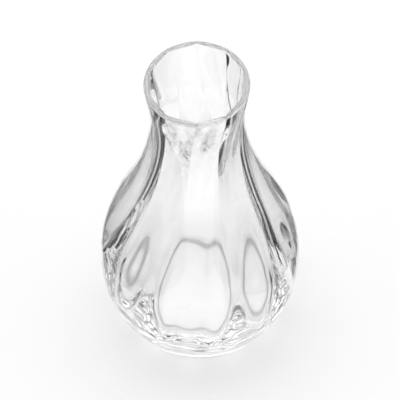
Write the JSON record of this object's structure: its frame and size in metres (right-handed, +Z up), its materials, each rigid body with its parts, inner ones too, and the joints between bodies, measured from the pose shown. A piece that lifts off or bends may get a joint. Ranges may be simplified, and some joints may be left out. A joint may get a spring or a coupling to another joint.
{
  "type": "glass bud vase",
  "caption": "Clear glass bud vase with a round belly, a narrow neck, a flared rim and a swirling ten-sided optic on the inside.",
  "frame": {"origin": "centre of the flat ring that the vase stands on", "axes": "+Z up along the vase's axis, +X to the right and +Y to the back"},
  "size_m": [0.0796, 0.0796, 0.15],
  "materials": {
    "clear_glass": "polished"
  },
  "bodies": {
    "root": {"base": "clear_glass", "bowl": "clear_glass", "shoulder": "clear_glass", "neck": "clear_glass", "rim": "clear_glass"}
  },
  "joints": []
}
